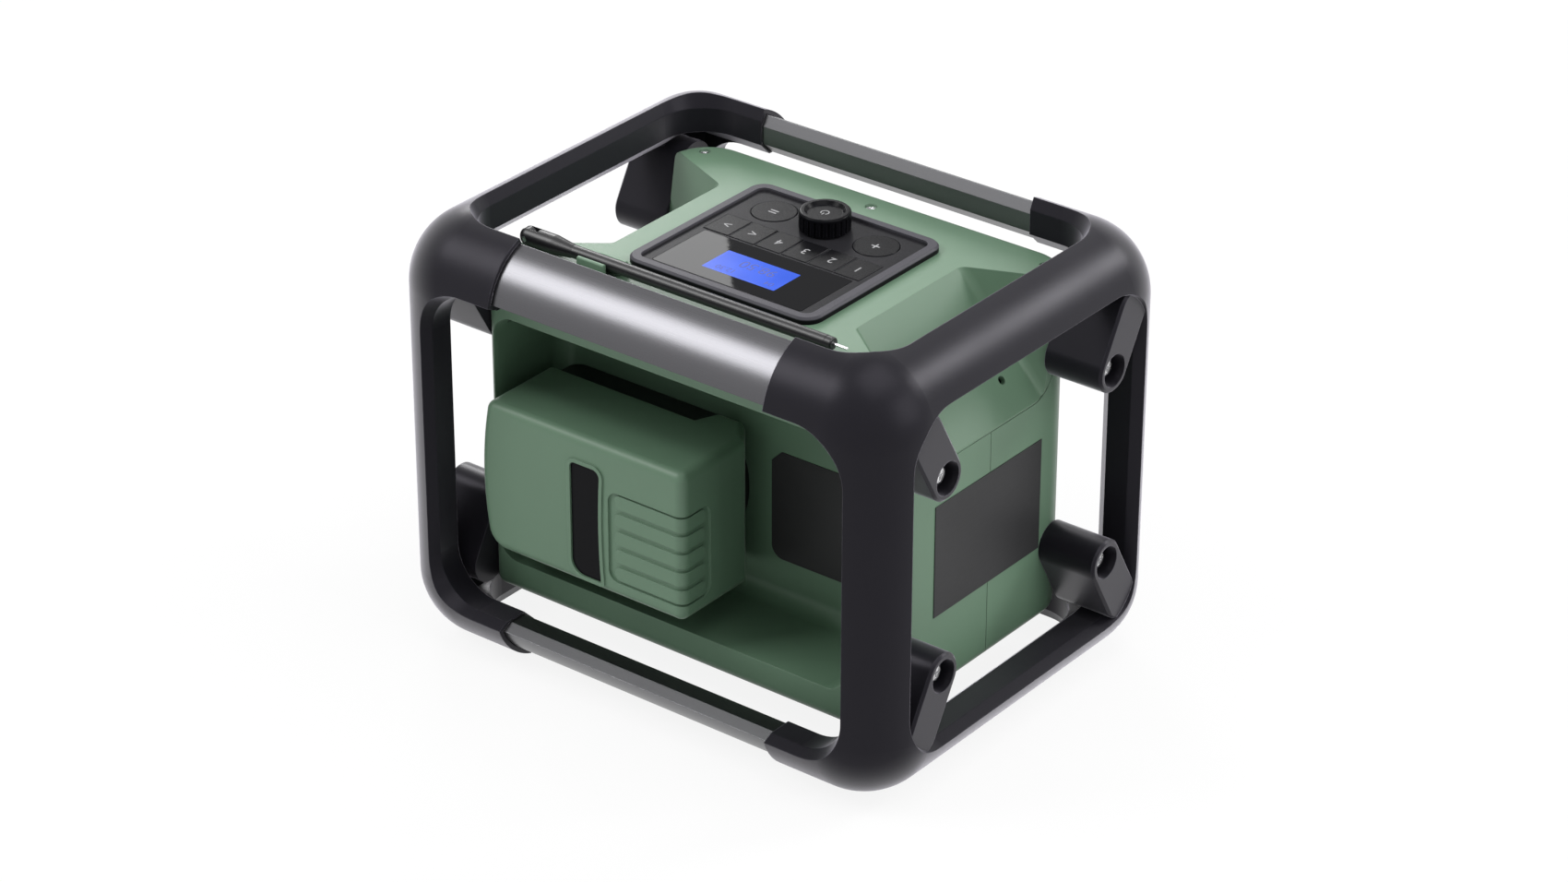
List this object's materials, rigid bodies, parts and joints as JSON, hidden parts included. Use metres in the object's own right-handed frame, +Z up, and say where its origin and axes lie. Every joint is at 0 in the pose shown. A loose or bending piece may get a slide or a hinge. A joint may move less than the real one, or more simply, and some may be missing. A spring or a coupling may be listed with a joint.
{
  "type": "jobsite radio",
  "caption": "Jobsite radio in a protective cage: two moulded end frames joined by four bars, slide-off battery pack, control panel, folding antenna and two speakers",
  "frame": {"origin": "under the middle of the cage, on the plane that it stands on", "axes": "+X along the bars, towards the antenna's hinge; +Y towards the battery bay and the carry handle; +Z up; the speakers face -Y"},
  "size_m": [0.3024, 0.236, 0.2296],
  "materials": {
    "frame_plastic": "moulded, fine grain, satin sheen",
    "bar_metal": "brushed along its length",
    "casing_green": "moulded, fine grain",
    "bezel_plastic": "satin",
    "key_plastic": "satin",
    "knob_plastic": "semi-gloss",
    "window": "polished",
    "display": "backlit",
    "circuit": "solder mask",
    "steel": "plated",
    "contact": "plated",
    "aerial_black": "satin",
    "pack_black": "fine grain",
    "badge_metal": "satin",
    "cell_sleeve": "shrink sleeve",
    "cone_paper": "coated paper",
    "basket_metal": "powder coat",
    "grille_metal": "powder coat",
    "plate_film": "satin film",
    "socket_black": "satin"
  },
  "bodies": {
    "chassis": {"end_frame_left": "frame_plastic", "end_frame_right": "frame_plastic", "carry_handle": "bar_metal", "front_top_bar": "bar_metal", "rear_bottom_bar": "bar_metal", "front_bottom_bar": "bar_metal", "mount_screws": "steel", "top_screws": "steel", "front_casing": "casing_green", "rear_casing": "casing_green", "top_casing": "casing_green", "speaker_grille": "grille_metal", "speaker_frame_left": "basket_metal", "speaker_frame_right": "basket_metal", "control_bezel": "bezel_plastic", "display_window": "window", "display_module": "display", "control_board": "circuit", "encoder_body": "socket_black", "antenna_base": "aerial_black", "antenna_pin": "steel", "battery_dock": "pack_black", "dock_terminals": "contact", "main_board": "circuit", "power_board": "circuit", "port_sockets": "socket_black", "port_cover_pin": "steel", "side_plate": "plate_film", "rear_plate": "plate_film", "mount_arm_left_front_lower": "frame_plastic", "mount_arm_left_front_upper": "frame_plastic", "mount_arm_left_rear_lower": "frame_plastic", "mount_arm_left_rear_upper": "frame_plastic", "mount_arm_right_front_lower": "frame_plastic", "mount_arm_right_front_upper": "frame_plastic", "mount_arm_right_rear_lower": "frame_plastic", "mount_arm_right_rear_upper": "frame_plastic"},
    "encoder": {"encoder_shaft": "steel"},
    "knob": {"tuning_knob": "knob_plastic"},
    "button_left": {"round_button_left": "key_plastic"},
    "button_right": {"round_button_right": "key_plastic"},
    "battery": {"battery_shell": "casing_green", "battery_base": "pack_black", "battery_cells": "cell_sleeve", "cell_holder": "pack_black", "battery_badge": "badge_metal"},
    "latch": {"battery_latch": "pack_black"},
    "antenna": {"antenna_root": "aerial_black", "antenna_tube": "aerial_black", "antenna_end_cap": "aerial_black"},
    "antenna_tip": {"antenna_rod": "steel"},
    "port_door": {"port_cover": "casing_green"},
    "cone_left": {"speaker_cone_left": "cone_paper"},
    "cone_right": {"speaker_cone_right": "cone_paper"},
    "key_1": {"key_1": "key_plastic"},
    "key_2": {"key_2": "key_plastic"},
    "key_3": {"key_3": "key_plastic"},
    "key_4": {"key_4": "key_plastic"},
    "key_5": {"key_5": "key_plastic"},
    "key_6": {"key_6": "key_plastic"}
  },
  "joints": [
    {"name": "key_1_press", "type": "slide", "parent": "chassis", "child": "key_1", "axis": [0, 0, -1], "range_m": [0, 0.0008], "stiffness_N_per_m": 2500},
    {"name": "key_2_press", "type": "slide", "parent": "chassis", "child": "key_2", "axis": [0, 0, -1], "range_m": [0, 0.0008], "stiffness_N_per_m": 2500},
    {"name": "key_3_press", "type": "slide", "parent": "chassis", "child": "key_3", "axis": [0, 0, -1], "range_m": [0, 0.0008], "stiffness_N_per_m": 2500},
    {"name": "key_4_press", "type": "slide", "parent": "chassis", "child": "key_4", "axis": [0, 0, -1], "range_m": [0, 0.0008], "stiffness_N_per_m": 2500},
    {"name": "key_5_press", "type": "slide", "parent": "chassis", "child": "key_5", "axis": [0, 0, -1], "range_m": [0, 0.0008], "stiffness_N_per_m": 2500},
    {"name": "key_6_press", "type": "slide", "parent": "chassis", "child": "key_6", "axis": [0, 0, -1], "range_m": [0, 0.0008], "stiffness_N_per_m": 2500},
    {"name": "button_left_press", "type": "slide", "parent": "chassis", "child": "button_left", "axis": [0, 0, -1], "range_m": [0, 0.0008], "stiffness_N_per_m": 2500},
    {"name": "button_right_press", "type": "slide", "parent": "chassis", "child": "button_right", "axis": [0, 0, -1], "range_m": [0, 0.0008], "stiffness_N_per_m": 2500},
    {"name": "knob_press", "type": "slide", "parent": "chassis", "child": "encoder", "axis": [0, 0, -1], "range_m": [0, 0.0008], "stiffness_N_per_m": 4000},
    {"name": "knob_turn", "type": "hinge", "parent": "encoder", "child": "knob", "pos_m": [0, -0.036, 0.2135], "axis": [0, 0, 1], "continuous": true},
    {"name": "battery_slide", "type": "slide", "parent": "chassis", "child": "battery", "axis": [-1, 0, 0], "range_m": [0, 0.06]},
    {"name": "latch_press", "type": "slide", "parent": "battery", "child": "latch", "axis": [0, 0, 1], "range_m": [0, 0.0042], "stiffness_N_per_m": 1500},
    {"name": "antenna_lift", "type": "hinge", "parent": "chassis", "child": "antenna", "pos_m": [0.102, 0.063, 0.2119], "axis": [0, 1, 0], "range_deg": [0, 90]},
    {"name": "antenna_extend", "type": "slide", "parent": "antenna", "child": "antenna_tip", "axis": [-1, 0, 0], "range_m": [0, 0.032]},
    {"name": "port_door_open", "type": "hinge", "parent": "chassis", "child": "port_door", "pos_m": [0.1199, -0.04, 0.0764], "axis": [0, 1, 0], "range_deg": [0, 90]},
    {"name": "cone_left_travel", "type": "slide", "parent": "chassis", "child": "cone_left", "axis": [0, 1, 0], "range_m": [-0.002, 0.002], "stiffness_N_per_m": 2500},
    {"name": "cone_right_travel", "type": "slide", "parent": "chassis", "child": "cone_right", "axis": [0, 1, 0], "range_m": [-0.002, 0.002], "stiffness_N_per_m": 2500}
  ]
}
